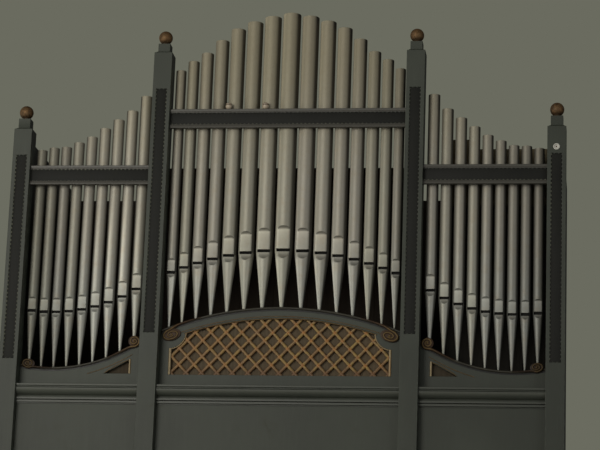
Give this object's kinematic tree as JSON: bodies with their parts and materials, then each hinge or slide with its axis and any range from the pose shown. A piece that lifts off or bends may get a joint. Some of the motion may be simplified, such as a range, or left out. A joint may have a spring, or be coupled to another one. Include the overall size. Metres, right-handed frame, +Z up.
{
  "type": "pipe organ",
  "caption": "Pipe organ in a painted case of three bays, with square posts and ball finials, carved rails, curved pipe shelves, a gilt lattice and metal front pipes.",
  "frame": {"origin": "on the floor, at the middle of the object's width and depth", "axes": "+Z up, +X to the right as one faces the organ, +Y into the case, so the pipe front faces -Y"},
  "size_m": [3.014, 1.2462, 3.642],
  "materials": {
    "case_paint": "grey-green oil paint, satin, worn at the edges",
    "pipe_metal": "satin spotted tin, slightly warm",
    "copper": "old copper-gold leaf, satin",
    "gilt_wood": "bronzed carved wood",
    "gold_lattice": "ochre gold paint",
    "bare_wood": "old unpainted pine",
    "dark_boards": "dark stained boards",
    "pale_knob": "glazed pale pink",
    "white_eyelet": "white glazed"
  },
  "bodies": {
    "root": {"post_left_end": "case_paint", "post_left_middle": "case_paint", "post_right_middle": "case_paint", "post_right_end": "case_paint", "finials": "copper", "skirting_left": "case_paint", "skirting_centre": "case_paint", "skirting_right": "case_paint", "lower_panel_left": "case_paint", "lower_panel_centre": "case_paint", "lower_panel_right": "case_paint", "waist_left": "case_paint", "waist_centre": "case_paint", "waist_right": "case_paint", "breast_left": "case_paint", "breast_centre": "case_paint", "breast_right": "case_paint", "recess_back_left": "dark_boards", "recess_back_centre": "dark_boards", "recess_back_right": "dark_boards", "lattice": "gold_lattice", "spandrel_trim": "gold_lattice", "shelf_left": "case_paint", "shelf_centre": "case_paint", "shelf_right": "case_paint", "scrolls_left": "gilt_wood", "scrolls_centre": "gilt_wood", "scrolls_right": "gilt_wood", "pipes_left": "pipe_metal", "pipes_centre": "pipe_metal", "pipes_right": "pipe_metal", "rail_left": "case_paint", "rail_centre": "case_paint", "rail_right": "case_paint", "rail_knobs": "pale_knob", "eyelet": "white_eyelet", "side_left": "case_paint", "side_right": "case_paint", "back_lower": "dark_boards", "back_upper": "dark_boards", "deck": "dark_boards", "wood_pipes": "bare_wood"}
  },
  "joints": []
}
